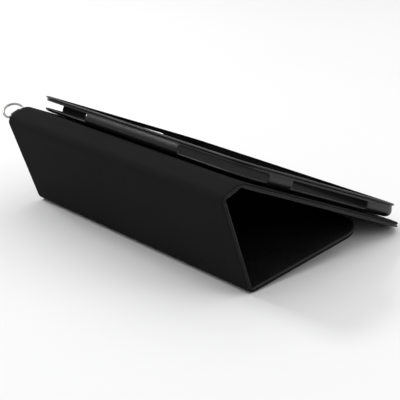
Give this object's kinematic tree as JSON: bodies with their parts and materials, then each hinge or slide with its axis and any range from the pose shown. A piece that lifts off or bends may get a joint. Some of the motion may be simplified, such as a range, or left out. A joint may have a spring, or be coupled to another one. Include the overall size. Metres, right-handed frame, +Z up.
{
  "type": "rotating tablet case",
  "caption": "Tablet folio case: a hinged cover folds into a low wedge stand and carries a turning tray with port windows; a metal lanyard ring sits at the end of the spine.",
  "frame": {"origin": "on the floor, under the middle of the bounding box of the standing case", "axes": "+Z up; +X along the folds, to the right when the front leaf is seen from the front; +Y from the front leaf towards the free edge of the back panel"},
  "size_m": [0.2726, 0.208, 0.0963],
  "materials": {
    "outer_leather": "satin, fine grain",
    "lining": "matte microfibre",
    "stiff_board": "plain pressed board",
    "tray_leather": "satin, fine grain",
    "tray_plastic": "moulded",
    "felt": "matte",
    "hub_plastic": "moulded",
    "washer_plastic": "smooth",
    "steel": "plain",
    "ring_metal": "polished"
  },
  "bodies": {
    "back_panel": {"back_skin": "outer_leather", "back_board": "stiff_board", "back_lining": "lining", "bearing_ring": "hub_plastic"},
    "spine": {"spine_skin": "outer_leather", "spine_board": "stiff_board", "spine_lining": "lining", "top_crease": "outer_leather", "ring_tab": "outer_leather"},
    "leaf": {"leaf_skin": "outer_leather", "leaf_board": "stiff_board", "leaf_lining": "lining", "spine_crease": "outer_leather"},
    "base": {"base_skin": "outer_leather", "base_board": "stiff_board", "base_lining": "lining", "floor_crease": "outer_leather", "edge_magnets": "steel"},
    "tray": {"tray_wrap": "tray_leather", "tray_shell": "tray_plastic", "tray_felt": "felt", "lip_frame": "tray_leather", "hub_flange": "hub_plastic", "hub_spindle": "hub_plastic", "hub_retainer": "hub_plastic", "hub_screws": "steel", "friction_washer": "washer_plastic", "hub_button": "hub_plastic"},
    "ring": {"lanyard_ring": "ring_metal"}
  },
  "joints": [
    {"name": "top_fold", "type": "hinge", "parent": "back_panel", "child": "spine", "pos_m": [0.00628, -0.08573, 0.08374], "axis": [1, 0, 0], "range_deg": [-44.3, 0]},
    {"name": "spine_fold", "type": "hinge", "parent": "spine", "child": "leaf", "pos_m": [0.00628, -0.10197, 0.07751], "axis": [1, 0, 0], "range_deg": [-88.9, 0]},
    {"name": "floor_fold", "type": "hinge", "parent": "leaf", "child": "base", "pos_m": [0.00628, -0.07464, 0.002], "axis": [1, 0, 0], "range_deg": [-167.7, 0]},
    {"name": "tray_swivel", "type": "hinge", "parent": "back_panel", "child": "tray", "pos_m": [0.00628, 0.00698, 0.04366], "axis": [0, 0.3968, 0.9179], "continuous": true},
    {"name": "ring_swing", "type": "hinge", "parent": "spine", "child": "ring", "pos_m": [-0.12532, -0.09385, 0.08062], "axis": [0, 0.9336, 0.3584], "range_deg": [-105, 55]}
  ]
}
